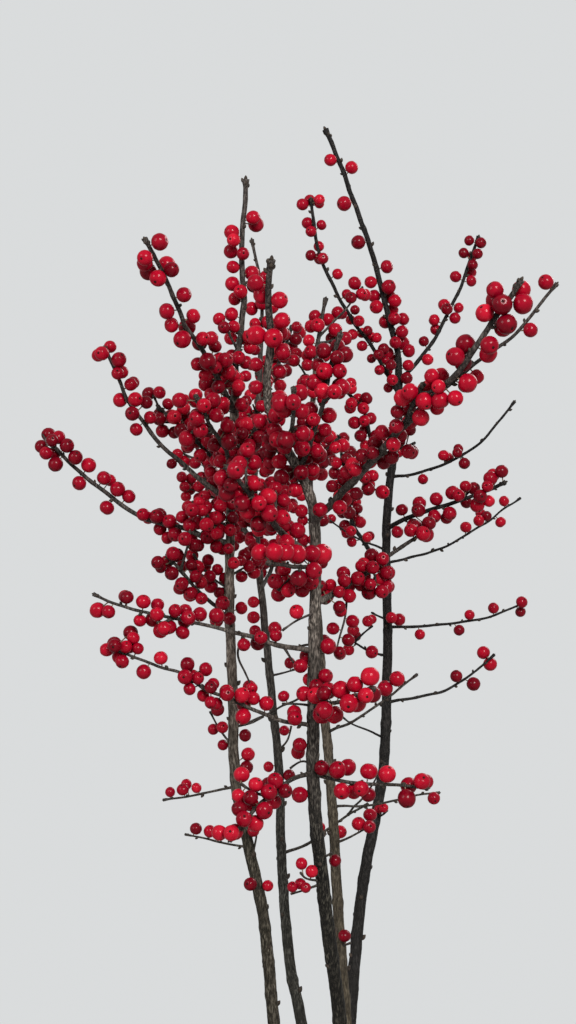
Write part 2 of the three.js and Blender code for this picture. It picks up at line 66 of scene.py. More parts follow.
PIXEL_SIZE = 0.58 * MM
EYE_ACROSS = -24.4 * MM
EYE_DISTANCE = 0.930
EYE_HEIGHT = 0.566
FRAME_WIDE = 576
FRAME_HIGH = 1024
ROUND_SIDES = 96

# The solids' growing rule
SEED = 41
NODE_SEEDS = 100
DRAW_RANGE = 2147483647
COLLAR = 3.5 * MM
ROOT_FLARE = 0.55
FLARE_HEIGHT = 22 * MM
NODE_PITCH = 11 * MM
NODE_LEAST, NODE_SPAN = 0.75, 0.5
TURN = math.radians(137.5)
SPUR_EVERY = 3
SPUR_FRUIT = 5
PAIR_FRUIT = 4
SPUR_LENGTH = 15 * MM
SPUR_LEAST, SPUR_SPAN = 0.6, 0.8
SPUR_RADIUS = 0.85 * MM
SPUR_RISE = 0.7
TWIG_TAPER = 0.75
TIP_KNOB = 0.6
KNOB_LENGTH = 5 * MM

# The finer growth between the solids' nodes. Most pairs are ranges for the dice.
TWIGLET_FRUIT = 4
TWIGLET_LENGTH = 8 * MM
TWIGLET_LENGTHS = (0.7, 1.3)
TWIGLET_RADIUS = 0.55 * MM
SPRIG_RADII = (0.75 * MM, 0.5 * MM)
SIDE_KNOB = 0.5
SIDE_LIFT = 0.15
SIDE_PITCH = 0.2
SIDE_TURN = 2.4
BERRY_SIZES = (0.86, 1.08)
BERRY_SQUAT = (0.90, 1.05)
BERRY_LEAN = (-0.1, 0.5)
BERRY_LIFT = (-0.2, 0.3)
BERRY_TURNS = (0.9, 2.6)
BERRY_TRIES = 16
BERRY_TOUCH = 0.90
STALK_LENGTH = 1.1 * MM
STALK_LENGTHS = (0.3, 1.2)
STALK_REACH = 0.28 * MM
STALK_RADIUS = 0.34 * MM
# A stalk's root as a share of its limb's radius, and the part of its stretch that a sign's fruit takes
STALK_ROOT = 0.8
SIGN_REACH = (0.1, 0.9)
# How far one-sided fruit strays round the limb at first and with each try, and how often fruit that hangs
# under level wood stands over it instead
STRAY, STRAY_STEP = 0.25, 0.05
LEVEL_WOOD, UNDER_WOOD, RAISED_FRUIT = 0.6, -0.2, 0.4
BUD_PITCH = 10 * MM
BUD_PITCHES = (0.5, 1.3)
BUD_LENGTH = 1.9 * MM
BUD_LENGTHS = (0.7, 1.2)
BUD_REACH = (0.12, 0.95)
THICK_WOOD = 3.5 * MM

# The unevenness of the wood's lines
LINE_STEP = 1.2 * MM
TANGENT_STEP = 1.5 * MM
SWAY = 0.9 * MM
STEM_SWAY = 0.45 * MM
SWAY_PITCH = 16 * MM
SWAY_STEPS = 8
SWAY_SEED = 44

Stem = namedtuple("Stem", "foot points thick taper fruit plump")
Growth = namedtuple("Growth", "parent start points thick fruit plump", defaults=(1,))
Look = namedtuple("Look", "plump shade")
Berry = namedtuple("Berry", "root heading stalk centre size shade spin squat")


def rows_of(kind, prefix, rows):
    return {prefix + name: kind(*row) for name, row in rows.items()}


# Each point of a limb is (pixels across, pixels down, mm behind the pot's axis), seen in the photograph.
# A foot is (mm across, mm behind) on the soil. Thick is the radius in mm at the start and the end, and a
# stem with a taper above 1 stays thick for longer.
# Fruit has a sign for each even step from a limb's foot to its end: a number is that many berries round it,
# a small letter one berry at its left, right, over or under it, and a capital two there.
# Plump is how large its berries are.
# A stem's row says its foot, points, thick, taper, fruit and plump.
STEMS = rows_of(Stem, "stem_", {
    "left": ((-20, 0), [
        (274, 1024, -3), (264, 921, -6), (249, 847, -5), (236, 786, -4), (233, 700, -2),
        (229.5, 567, 2), (236, 372, 0)],
        (3.9, 2.4), 1.0, "0" * 22 + "2" + "0" * 7 + "R0rr0000001102333344444332", 0.88),
    "back": ((-4, 12), [
        (302, 1024, 26), (291, 969, 34), (282, 870, 42), (279, 770, 48), (265.5, 636, 53),
        (255, 500, 53), (262, 330, 46)],
        (3.9, 1.4), 1.0, "0" * 28 + "rl" + "0" * 8 + "lll012333334555421111", 0.92),
    "front": ((12, -14), [
        (340, 1024, -26), (326, 912, -40), (314, 798, -49), (314, 651, -56), (311, 500, -66),
        (277, 431, -86), (267, 392, -98), (271, 345, -108)],
        (3.9, 2.0), 2.6, "0" * 29 + "l00l00022r00" + "0" * 7 + "12lr2lRl2r", 1.0),
    "middle": ((18, 3), [
        (346.6, 1024, 8), (339, 921, 13), (331.7, 798, 16), (322, 680, 15), (314, 560, 12),
        (310, 460, 8), (316, 362, 10)],
        (3.4, 1.4), 2.0, "0" * 36 + "01001222222244442233", 0.9),
    "right": ((9, 19), [
        (350, 1024, 36), (363, 884, 52), (382.5, 774, 62), (387.5, 650, 71), (387, 515, 80),
        (399, 410, 85), (398, 358, 88)],
        (4.1, 2.3), 1.0, "0" * 39 + "1" + "0" * 9 + "001000011", 0.9),
})

# Each row says what a limb grows on, where it leaves that, its other points, thick, fruit and plump.
# A mass without a start goes on from its parent's end, and its thick is that of its start.
BOUGHS = rows_of(Growth, "bough_", {
    "front_right": ("stem_front", (316, 520), [(350, 484.5, -92), (400, 430, -140), (448, 382, -172)],
        (2.2, 1.6), "012222233222O4O4", 0.92),
    "front_left": ("stem_front", (314, 560), [(284, 534, -86), (262, 511, -106)], (1.9, 1.5), "0l2344"),
    "left_low": ("stem_front", (311, 726), [(278, 719, -60), (250, 708, -66), (213, 693, -72)],
        (1.2, 0.95), "0O0o3o3", 0.95),
    "left_upper": ("stem_front", (314, 652), [(281, 646, -60), (256, 638, -62), (207, 625, -66)],
        (1.5, 1.0), "00O2u01", 0.95),
    "left_mid": ("stem_left", (228, 543), [(205, 538, 3), (184.5, 529, 6), (151, 520, 10)],
        (1.7, 1.4), "23443"),
    "left_high": ("stem_left", (228, 502), [(198, 478.5, -4), (171.5, 454.5, -8)], (1.6, 1.3), "2100u", 0.8),
    "left_top": ("stem_left", (234, 412), [(222, 386, -22), (206, 356, -46)], (1.8, 1.4), "144443"),
    "right_mid": ("stem_front", (315, 604), [(346, 586, -40), (378, 566, -28)], (1.9, 1.3), "0444O4", 0.95),
    "right": ("stem_right", (387, 530), [(404, 519, 66), (436, 508, 54)], (1.5, 1.3), "0uoUOu"),
    "back_left": ("stem_back", (259, 560), [(246, 530, 82), (222, 496, 120)], (1.7, 1.4), "00233333"),
    "back_right": ("stem_right", (387, 590), [(376, 562, 106), (354, 526, 140)], (1.7, 1.4), "00000001"),
})

MASSES = rows_of(Growth, "twigs_", {
    "left_leader": ("stem_left", None, [(243.5, 306, -2), (242, 250, -5), (246.7, 180, -8)],
        1.9, "443L2222LR00"),
    "back_leader": ("stem_back", None, [(259.5, 280, 44), (252, 239, 42)], 1.2, "442100"),
    "front_leader": ("stem_front", None, [(268.5, 308, -118), (271, 260, -130)], 2.0, "3R2l0", 1.15),
    "middle_leader": ("stem_middle", None, [(320, 335, 16), (325.4, 298, 22)], 1.4, "33210"),
    "right_leader": ("stem_right", None, [(385, 300, 90), (369, 243, 92), (354, 203, 94), (341, 165, 96),
        (325.4, 129, 97)], 1.9, "5r333lr0l00l0rl00", 1.08),
    "left_top": ("bough_left_top", None, [(185, 325, -66), (169, 284, -88), (145, 239, -108)],
        1.4, "3R32lr04Lr", 1.08),
    "left_high": ("bough_left_high", None, [(140, 418, -14), (126, 396, -18), (114, 368, -22),
        (104, 347, -26)], 1.3, "000RR2R2r3", 0.95),
    "left_mid": ("bough_left_mid", None, [(108, 495, 8), (78, 470, 2), (50, 443, -4)], 1.4, "200oOoouoo036"),
    "left_upper": ("bough_left_upper", None, [(148, 612, -72), (113, 603, -76), (93, 594, -80)],
        1.0, "15542OU0", 0.95),
    "left_low": ("bough_left_low", None, [(184, 675, -74), (160, 667.5, -72), (118, 650, -70)],
        0.95, "4420o1o4", 0.9),
    "left_inner": ("stem_left", (229, 619), [(203, 595, -10), (178.5, 568, -16), (167, 556, -18)],
        1.2, "2104455", 0.95),
    "left_foot_upper": ("stem_left", (236, 786), [(206, 793, -4), (162, 800, -8)], 0.75, "00oOo", 0.8),
    "left_foot_lower": ("stem_left", (248, 848), [(226, 843.5, -8), (204, 838, -9), (185, 834, -10)],
        0.7, "00oo", 0.8),
    "front_low": ("stem_front", (312, 772), [(283, 785, -76), (265, 799, -88), (249, 816, -98),
        (229, 841, -108)], 1.3, "0000443322", 1.04),
    "front_mid": ("bough_front_left", None, [(246, 489, -116), (226, 466, -122)], 1.4, "43545"),
    "front_knot": ("stem_front", (314, 567), [(296, 566, -92), (268, 562, -118)], 1.3, "OO2OOO", 1.25),
    "front_cluster": ("stem_front", (313, 700), [(338, 702, -86), (374, 689, -98)], 1.3, "O22333", 1.15),
    "front_rising": ("stem_left", (229, 478), [(226, 450, -30), (212, 428, -52), (196, 396, -66)],
        1.3, "01123454", 1.05),
    "front_centre": ("stem_front", (300, 470), [(316, 428, -92), (327, 385, -98), (340, 333, -106)],
        1.4, "3333333440", 1.02),
    "front_ahead": ("stem_front", (281, 439), [(292, 428, -118), (294, 388, -134)], 1.3, "21223", 1.12),
    "right_front": ("bough_front_right", None, [(472, 352, -180), (496, 317, -188), (521, 280, -196)],
        1.6, "0r1l1rr0LR2210", 1.12),
    "right_outer": ("bough_front_right", (436, 395), [(488, 355, -160), (521, 328, -163), (557, 282, -168)],
        1.0, "0u1000r00l", 0.95),
    "right_knot": ("bough_front_right", (404, 426), [(412, 408, -158), (424, 384, -166)], 1.3, "034", 0.98),
    "right_top": ("stem_right", (400, 381), [(422, 357, 96), (447, 316, 104), (464, 280, 110),
        (478, 236, 114)], 1.3, "00rl022202232", 0.88),
    "centre_top": ("stem_right", (400, 394), [(374, 351, 72), (340, 299, 60), (318, 247, 54), (311, 198, 48)],
        1.3, "1233332210131214", 0.82),
    "right_high": ("stem_right", (391, 478), [(422, 472, 70), (448, 462, 62), (483, 440, 52), (514, 401, 44)],
        0.95, "00u02300000", 0.82),
    "right_mid": ("bough_right", None, [(477, 495, 46), (506, 482, 40)], 1.3, "oUOOOUuoOo"),
    "right_far": ("stem_right", (387, 564), [(444, 547, 104), (483, 524, 122), (520, 498, 134)],
        0.85, "0000000ooOuo0", 0.85),
    "right_lower": ("stem_right", (388, 628), [(448, 624, 96), (489, 617, 106), (523, 604, 116)],
        0.95, "00u00uo0o02", 0.9),
    "right_low": ("stem_right", (387, 703), [(443, 691, 78), (465, 679, 84), (494, 655, 90)],
        0.95, "00000ou02"),
    "right_inner": ("bough_right_mid", None, [(404, 546, -20), (431, 526, -14)], 1.3, "400O3", 1.02),
    "middle_low": ("stem_middle", (327, 732), [(353, 722, 2), (386, 699, -4), (417, 674, -8)],
        0.85, "00000oo0", 1.08),
    "middle_foot": ("stem_middle", (332, 806), [(370, 806, 4), (416, 795, -2), (440, 792, -4)],
        0.75, "000000r", 0.9),
    "front_foot": ("stem_front", (312, 774), [(351, 783, -64), (404, 786, -74), (428, 788, -78)],
        1.1, "oO23o22", 1.08),
    "centre_foot": ("stem_back", (281, 854), [(309, 843, 56), (341, 820, 72), (368, 803, 86)],
        0.95, "000oU000", 0.9),
    "centre_low": ("stem_right", (388, 656), [(368, 650, 54), (350, 640, 46)], 0.85, "0013", 0.9),
    "centre_right": ("stem_right", (392, 458), [(374, 446, 60), (363, 410, 50), (342, 387, 44)],
        1.4, "1133344", 0.9),
    "left_behind": ("stem_back", (256, 510), [(222, 468, 44), (196, 441, 42), (158, 406, 38)],
        1.4, "1233434555"),
    "back_left": ("bough_back_left", None, [(198, 452, 148), (186, 400, 168)], 1.4, "3323322332"),
    "back_high": ("stem_back", (258, 410), [(276, 372, 96), (292, 326, 136)], 1.3, "022354444"),
    "back_right": ("bough_back_right", None, [(346, 480, 162), (338, 436, 178)], 1.4, "33433433"),
    "back_mid": ("stem_back", (262, 590), [(276, 556, 108), (288, 488, 150)], 1.3, "002445555"),
})

# Short side twigs finer than the solids' own: parent, start, other points, fruit and plump
SPRIGS = [
    ("stem_left", (231, 747), (219, 729, -6), (210, 712, -8), "121", 0.85),
    ("stem_left", (259, 858), (256, 840, -6), (257, 826, -8), "00o", 0.85),
    ("stem_left", (240, 728), (252, 722, 0), (264, 716, 3), "000", 0.85),
    ("stem_back", (280, 752), (287, 741, 44), (291, 726, 42), "00o", 0.75),
    ("stem_front", (318, 884), (304, 890, -46), (290, 894, -48), "00Oo", 0.8),
    ("stem_front", (317, 882), (306, 878, -50), (301, 873, -54), "0oo", 0.78),
    ("stem_front", (320, 859), (331, 853, -38), "0u", 0.9),
    ("stem_front", (311, 763), (301, 762, -40), (291, 768, -36), "00o0", 0.88),
    ("stem_front", (310, 684), (296, 700, -40), (270, 712, -25), (244, 725, -15), "000000", 0.8),
    ("stem_front", (310, 706), (297, 703, -58), (283, 703, -56), "00o", 0.75),
    ("stem_front", (310, 645), (285, 647, -30), (262, 640, -20), "0000", 0.8),
    ("stem_front", (310, 612), (297, 620, -68), (283, 630, -70), "0o0", 1),
    ("stem_middle", (344, 946), (351, 943, 2), "o", 1),
    ("stem_middle", (339, 843), (355, 835, 20), (372, 825, 24), "00oO", 1),
    ("stem_left", (230, 528), (212, 518, -10), (190, 507, -16), "2455", 0.95),
    ("stem_left", (231, 452), (244, 444, -16), (256, 428, -24), "2344", 0.95),
    ("twigs_left_low", (124, 652), (121, 647, -70), (117, 641, -70), "33", 0.95),
    ("stem_left", (229, 590), (214, 578, 8), (198, 566, 12), "1344", 0.95),
    ("bough_back_left", (228, 505), (206, 494, 112), (184, 487, 114), "1345", 0.95),
    ("stem_back", (256, 520), (270, 500, 30), (282, 480, 20), "2444", 0.95),
    ("stem_right", (387, 551), (357, 538, 60), (329, 520, 50), "01211", 0.85),
    ("stem_right", (386, 619), (372, 613, 66), "0u", 0.8),
    ("stem_right", (389, 634), (391, 624, 62), "o", 0.9),
    ("stem_right", (386, 495), (372, 488, 70), (358, 470, 56), "0233", 1),
    ("bough_front_right", (385, 446), (399, 447, -122), (415, 443, -116), "1231", 0.85),
    ("stem_front", (313, 575), (291, 578, -70), (277, 590, -74), "0233", 1),
    ("stem_front", (285, 440), (276, 452, -60), (262, 458, -50), "2344", 0.95),
    ("stem_middle", (312, 388), (296, 362, 30), (276, 346, 44), "01122", 0.9),
    ("stem_middle", (310, 462), (326, 450, -20), (338, 438, -24), "0334", 0.95),
    ("stem_left", (234, 576), (246, 567, 14), (257, 556, 26), "0233", 0.95),
    ("bough_right_mid", (372, 569), (375, 579, -34), (373, 593, -30), "334", 0.98),
    ("bough_right_mid", (349, 585), (344, 620, -36), (335, 655, -40), "1011112", 0.95),
    ("twigs_middle_leader", (321, 338), (333, 323, 20), (350, 303, 26), (363, 287, 30), "11113", 0.9),
    ("stem_back", (277, 675), (287, 672, 44), (295, 669, 40), "00o", 0.85),
    ("bough_left_upper", (283, 648), (290, 657, -58), (298, 668, -54), "000", 0.8),
    ("bough_left_upper", (243, 636), (238, 655, -58), (245, 673, -56), (253, 690, -54), "00002", 0.85),
    ("twigs_centre_low", (354, 642), (362, 635, 44), (372, 626, 46), "00o", 0.85),
    ("stem_right", (379, 738), (352, 724, 48), (343, 716, 44), "000", 0.8),
    ("twigs_centre_foot", (349, 815), (363, 797, 60), (376, 779, 52), (385, 762, 48), "0000", 0.8),
    ("stem_right", (377, 818), (383, 815, 52), (388, 810, 52), "0oo", 0.72),
]


# Lines and limbs

def spot(point):
    """Where a pixel of the photograph lies at a depth, in mm, behind the pot's axis."""
    across, down, behind = point
    scale = PIXEL_SIZE * (1 + behind * MM / EYE_DISTANCE)
    return np.array([
        EYE_ACROSS + (across - FRAME_WIDE / 2) * scale,
        behind * MM,
        EYE_HEIGHT + (FRAME_HIGH / 2 - down) * scale,
    ])


def unit(vector):
    return vector / norm(vector)


def swayed(line, sway):
    """A line with the slight unevenness of grown wood, which starts where the plain line does."""
    fade = np.clip(np.arange(len(line)) / SWAY_STEPS, 0, 1)[:, None]
    drift = np.array([noise.noise_vector(Vector(point / SWAY_PITCH)) for point in line])
    return line + drift * fade * sway


def blend(one, other, t, low, high):
    """One value where t is low, another where it is high, and even between."""
    return one + (other - one) * (t - low) / (high - low)


def smooth_line(points):
    """A dense line through the points, rounded where it turns (a Catmull-Rom curve)."""
    points = np.array(points)
    ends = np.vstack([2 * points[0] - points[1], points, 2 * points[-1] - points[-2]])
    pieces = []
    for p0, p1, p2, p3 in zip(ends, ends[1:], ends[2:], ends[3:]):
        t1 = math.sqrt(norm(p1 - p0))
        t2 = t1 + math.sqrt(norm(p2 - p1))
        t3 = t2 + math.sqrt(norm(p3 - p2))
        count = max(2, round(norm(p2 - p1) / LINE_STEP))
        t = np.linspace(t1, t2, count, endpoint=False)[:, None]
        a1 = blend(p0, p1, t, 0, t1)
        a2 = blend(p1, p2, t, t1, t2)
        a3 = blend(p2, p3, t, t2, t3)
        b1 = blend(a1, a2, t, 0, t2)
        b2 = blend(a2, a3, t, t1, t3)
        pieces.append(blend(b1, b2, t, t1, t2))
    return np.vstack(pieces + [points[-1:]])


class Limb:
    """A tapering limb. Its parts run from 0 at its foot to 1 at its end."""

    def __init__(self, stem, points, thick, taper=1, flare=0, knob=0, sway=SWAY):
        self.stem = stem
        self.shade = "black" if stem == BLACK_STEM else "grey"
        self.line = swayed(smooth_line(points), sway)
        steps = norm(np.diff(self.line, axis=0), axis=1)
        self.reached = np.concatenate([[0.0], np.cumsum(steps)])
        self.length = self.reached[-1]
        self.thick, self.taper, self.flare, self.knob = thick, taper, flare, knob

    def point(self, part):
        along = part * self.length
        return np.array([np.interp(along, self.reached, self.line[:, axis]) for axis in range(3)])

    def tangent(self, part):
        step = TANGENT_STEP / self.length
        return unit(self.point(min(1, part + step)) - self.point(max(0, part - step)))

    def radius(self, part):
        height = part * self.length
        spread = self.flare * max(0, 1 - height / FLARE_HEIGHT) ** 2
        swelling = self.knob * max(0, 1 - (self.length - height) / KNOB_LENGTH)
        plain = self.thick[0] + (self.thick[1] - self.thick[0]) * part ** self.taper
        return plain * (1 + spread + swelling)

    def radii(self):
        return np.array([self.radius(reached / self.length) for reached in self.reached])


def place_near(parent, start):
    """The part of a limb that the photograph shows nearest to a pixel."""
    pixels = np.array([spot((start[0], start[1], point[1] / MM)) for point in parent.line])
    nearest = norm(pixels - parent.line, axis=1).argmin()
    return parent.reached[nearest] / parent.length


def side_start(parent, start, target):
    """A limb that leaves its parent's side begins inside it."""
    part = place_near(parent, start)
    point = parent.point(part)
    out = unit(target - point)
    return [point, point + out * (parent.radius(part) + COLLAR)]


def end_start(parent):
    """A limb that goes on from its parent's end begins a little inside it."""
    return [parent.point(1) - parent.tangent(1) * MM, parent.point(1) + parent.tangent(1) * COLLAR]


def make_limbs():
    """Every stem, bough and main twig, by name."""
    limbs = {}
    soil_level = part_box("soil")[1].z
    for name, stem in STEMS.items():
        ground = np.array([stem.foot[0] * MM, stem.foot[1] * MM, soil_level])
        above = ground + (0, 0, FLARE_HEIGHT / 2)
        points = [ground, above, *map(spot, stem.points)]
        thick = np.array(stem.thick) * MM
        limbs[name] = Limb(name, points, thick, stem.taper, flare=ROOT_FLARE, sway=STEM_SWAY)
    for name, growth in {**BOUGHS, **MASSES}.items():
        parent = limbs[growth.parent]
        points = [spot(point) for point in growth.points]
        start = side_start(parent, growth.start, points[0]) if growth.start else end_start(parent)
        thick, knob = np.array(growth.thick) * MM, 0
        if name in MASSES:
            thick, knob = thick * np.array([1, TWIG_TAPER]), TIP_KNOB
        limbs[name] = Limb(parent.stem, [*start, *points], thick, knob=knob)
    return limbs


# Room for growth

class Room:
    """What is taken up already, as balls: along every limb, and one for every berry."""

    def __init__(self):
        self.centres = np.zeros((0, 3))
        self.radii = np.zeros(0)

    def take(self, centres, radii):
        self.centres = np.vstack([self.centres, centres])
        self.radii = np.append(self.radii, radii)

    def take_limb(self, limb):
        self.take(limb.line, limb.radii())

    def is_free(self, centre, radius):
        away = norm(self.centres - centre, axis=1)
        return bool((away > (self.radii + radius) * BERRY_TOUCH).all())


def sideways(tangent, turn):
    """A direction that leaves a line at right angles, turned about it."""
    level = np.cross(tangent, (0, 0, 1))
    nearly_upright = norm(level) <= 0.05
    level = np.array([1.0, 0, 0]) if nearly_upright else unit(level)
    return level * math.cos(turn) + np.cross(tangent, level) * math.sin(turn)


def seeded(start):
    """Random numbers from 0 to 1, the same as the solids' rule draws."""
    state = start * 7919 + 1
    while True:
        state = state * 16807 % DRAW_RANGE
        yield state / DRAW_RANGE


# The growing rule

# Left, right, over and under, each a little towards the eye
SIDES = {"l": (-1, -0.35, 0), "r": (1, -0.35, 0), "o": (0, -0.35, 1), "u": (0, -0.35, -1)}


def read_fruit(signs):
    """How many berries each sign of a pattern stands for, and on which side."""
    return [
        (int(sign), None) if sign.isdigit() else (2 if sign.isupper() else 1, SIDES[sign.lower()])
        for sign in signs
    ]


def ripest(clusters, start, end):
    """The largest of the clusters between two parts of a limb, and how many berries all have."""
    inside = [index for index in range(len(clusters)) if start <= (index + 0.5) / len(clusters) < end]
    largest = max(inside, key=lambda index: clusters[index][0], default=None)
    return largest, sum(clusters[index][0] for index in inside)


def toward(side, tangent):
    """The way to one side of the photograph, at right angles to a line."""
    side = np.array(side)
    return unit(side - side.dot(tangent) * tangent)


class Crown:
    """Gathers the twigs, berries and buds that grow on the limbs."""

    def __init__(self, limbs):
        self.room = Room()
        self.twigs = []
        self.berries = []
        self.buds = []
        for limb in limbs.values():
            self.room.take_limb(limb)

    def take_twig(self, twig):
        self.room.take_limb(twig)
        self.twigs.append(twig)

    def bear(self, limb, part, out, stalk, look, dice):
        """A berry on its stalk at a part of a limb, if there is room for it."""
        size = BERRY_RADIUS * look.plump * dice.uniform(*BERRY_SIZES)
        lean = limb.tangent(part) * dice.uniform(*BERRY_LEAN)
        lift = (0, 0, dice.uniform(*BERRY_LIFT))
        heading = unit(out + lean + lift)
        root = limb.point(part) + out * limb.radius(part) * STALK_ROOT
        centre = root + heading * (stalk + size)
        if not self.room.is_free(centre, size):
            return False
        self.room.take(centre, size)
        shade = look.shade
        if dice.random() < ODD_SHADES:
            shade = pick_shade(dice)
        spin = dice.uniform(0, math.tau)
        squat = dice.uniform(*BERRY_SQUAT)
        self.berries.append(Berry(root, heading, stalk, centre, size, shade, spin, squat))
        return True

    def sprig(self, limb, part, turn, length, radius, fruit, look, dice):
        """A short rising side twig with berries at its end. It says how many it bears."""
        tangent = limb.tangent(part)
        heading = unit(sideways(tangent, turn) + tangent * SPUR_RISE)
        start = limb.point(part)
        middle = start + heading * length / 2
        end = start + heading * length + (0, 0, length * SIDE_LIFT)
        middle_free = self.room.is_free(middle + heading * 2 * MM, MM)
        if not (middle_free and self.room.is_free(end, BERRY_RADIUS / 2)):
            return 0
        twig = Limb(limb.stem, [start, middle, end], (radius, radius * TWIG_TAPER), knob=SIDE_KNOB)
        self.take_twig(twig)
        borne = 0
        for step in range(fruit):
            where = 1 - SIDE_PITCH * step
            out = sideways(twig.tangent(where), turn + SIDE_TURN * step)
            borne += self.bear(twig, where, out, STALK_LENGTH * dice.random(), look, dice)
        return borne

    def cluster(self, limb, start, end, count, side, look, dice):
        """Berries round a stretch of a limb. Where they crowd, their stalks are longer."""
        turn = dice.uniform(0, math.tau)
        for _ in range(count):
            for attempt in range(BERRY_TRIES):
                part = dice.uniform(start, end)
                tangent = limb.tangent(part)
                out = sideways(tangent, turn)
                if side:
                    out = unit(toward(side, tangent) + out * (STRAY + STRAY_STEP * attempt))
                elif abs(tangent[2]) < LEVEL_WOOD and out[2] < UNDER_WOOD and dice.random() < RAISED_FRUIT:
                    out = -out
                stalk = STALK_LENGTH * dice.uniform(*STALK_LENGTHS) + STALK_REACH * attempt
                turn += dice.uniform(*BERRY_TURNS)
                if self.bear(limb, part, out, stalk, look, dice):
                    break

    def grow(self, limb, fruit, plump, number):
        """The solids' nodes first, each a berry or a sprig, and then the rest of the fruit."""
        dice = random.Random(SEED + number)
        clusters = read_fruit(fruit)
        borne = [0] * len(clusters)
        draw = seeded(SEED + number)
        turn = next(draw) * math.tau
        along, node = 0, 0
        while along < limb.length:
            stride = NODE_PITCH * (NODE_LEAST + NODE_SPAN * next(draw))
            index, berries = ripest(clusters, along / limb.length, (along + stride) / limb.length)
            if berries:
                part = (index + 0.5) / len(clusters)
                look = Look(plump, pick_shade(dice))
                if node % SPUR_EVERY == 1 and berries >= SPUR_FRUIT:
                    detail = seeded(SEED + NODE_SEEDS * (number + 1) + node)
                    length = SPUR_LENGTH * (SPUR_LEAST + SPUR_SPAN * next(detail))
                    borne[index] += self.sprig(limb, part, turn, length, SPUR_RADIUS, 3, look, dice)
                else:
                    side = clusters[index][1]
                    tangent = limb.tangent(part)
                    out = toward(side, tangent) if side else sideways(tangent, turn)
                    borne[index] += self.bear(limb, part, out, STALK_LENGTH, look, dice)
                    if berries >= PAIR_FRUIT:
                        opposite = sideways(tangent, turn + math.pi)
                        borne[index] += self.bear(limb, part, opposite, STALK_LENGTH, look, dice)
            turn += TURN
            node += 1
            along += stride
        self.fill(limb, clusters, borne, plump, dice)

    def fill(self, limb, clusters, borne, plump, dice):
        """The fruit that the pattern asks for and the solids' nodes don't bear."""
        for index, (count, side) in enumerate(clusters):
            look = Look(plump, pick_shade(dice))
            missing = count - borne[index]
            start, end = [(index + edge) / len(clusters) for edge in SIGN_REACH]
            if missing >= TWIGLET_FRUIT:
                length = TWIGLET_LENGTH * dice.uniform(*TWIGLET_LENGTHS)
                part = dice.uniform(start, end)
                turn = dice.uniform(0, math.tau)
                missing -= self.sprig(limb, part, turn, length, TWIGLET_RADIUS, 2, look, dice)
            self.cluster(limb, start, end, missing, side, look, dice)

    def set_buds(self, limb, dice):
        """Pointed buds, turned one after another, larger and rarer on thick wood."""
        along = BUD_REACH[0] * limb.length
        turn = dice.uniform(0, math.tau)
        while along < BUD_REACH[1] * limb.length:
            part = along / limb.length
            girth = 1 + limb.radius(part) / THICK_WOOD
            self.buds.append((limb, part, turn, BUD_LENGTH * girth * dice.uniform(*BUD_LENGTHS)))
            turn += TURN
            along += BUD_PITCH * girth * dice.uniform(*BUD_PITCHES)


# Meshes from arrays

def place(name, data):
    made = bpy.data.objects.new(name, data)
    bpy.context.scene.collection.objects.link(made)
    return made


def make_mesh(name, parts, skin):
    """A mesh joined from parts, each of them points and faces."""
    faces, count = [], 0
    for points, part_faces in parts:
        faces += [[index + count for index in face] for face in part_faces]
        count += len(points)
    mesh = bpy.data.meshes.new(name)
    mesh.from_pydata(np.vstack([points for points, _ in parts]).tolist(), [], faces)
    mesh.materials.append(skin)
    return mesh


def make_piece(name, parts, skin, nodes=()):
    """A piece of the plant, which may take the place of some nodes."""
    mesh = make_mesh(name, parts, skin)
    mesh.polygons.foreach_set("use_smooth", [True] * len(mesh.polygons))
    mesh.update()
    made = place(name, mesh)
    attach(made, "root")
    if nodes:
        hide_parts(*nodes)


def ring_faces(rings, sides):
    """Four-cornered faces between rings, and a fan at each end to the last two points."""
    faces = []
    foot, end, top = rings * sides, rings * sides + 1, (rings - 1) * sides
    for low in range(0, top, sides):
        high = low + sides
        for side in range(sides):
            after = (side + 1) % sides
            faces.append((low + side, low + after, high + after, high + side))
    for side in range(sides):
        after = (side + 1) % sides
        faces.append((foot, after, side))
        faces.append((end, top + side, top + after))
    return faces


def cross_axes(line):
    """Two directions across a line at each of its points, which don't twist about it."""
    tangents = np.gradient(line, axis=0)
    tangents /= norm(tangents, axis=1)[:, None]
    no_limbs_way = (0.31, 0.95, 0.05)
    across = np.cross(tangents[0], no_limbs_way)
    first = []
    for tangent in tangents:
        across = unit(across - across.dot(tangent) * tangent)
        first.append(across)
    first = np.array(first)
    return first, np.cross(tangents, first)


def tube(line, radii, sides, relief=None):
    """A closed tube along a line. Relief gives radius factors from the tube's points."""
    across, ahead = cross_axes(line)
    angles = np.arange(sides) * math.tau / sides
    out = across[:, None] * np.cos(angles)[:, None] + ahead[:, None] * np.sin(angles)[:, None]
    wide = radii[:, None, None]
    if relief:
        wide = wide * relief(line[:, None] + out * wide)[:, :, None]
    points = (line[:, None] + out * wide).reshape(-1, 3)
    return np.vstack([points, line[:1], line[-1:]]), ring_faces(len(line), sides)


def ring(radii, height, sides):
    """Points round the Z axis. The radius is one number, or one for each point."""
    angles = np.arange(sides) * math.tau / sides
    return np.stack([radii * np.cos(angles), radii * np.sin(angles), np.full(sides, height)], axis=1)


def profile_solid(radii, heights, sides):
    """A closed round shape about its own Z axis, from rings that go up."""
    rings = [ring(radius, height, sides) for radius, height in zip(radii, heights)]
    points = np.vstack(rings + [[[0, 0, heights[0]], [0, 0, heights[-1]]]])
    return points, ring_faces(len(radii), sides)


def turned_to(points, heading, spin):
    """Points whose Z axis is laid along a heading, spun about it."""
    level = sideways(heading, spin)
    other = np.cross(heading, level)
    return points @ np.array([level, other, heading])


# Materials

BLACK, WHITE = (0, 0, 0), (1, 1, 1)
PORE_SCALE = 380


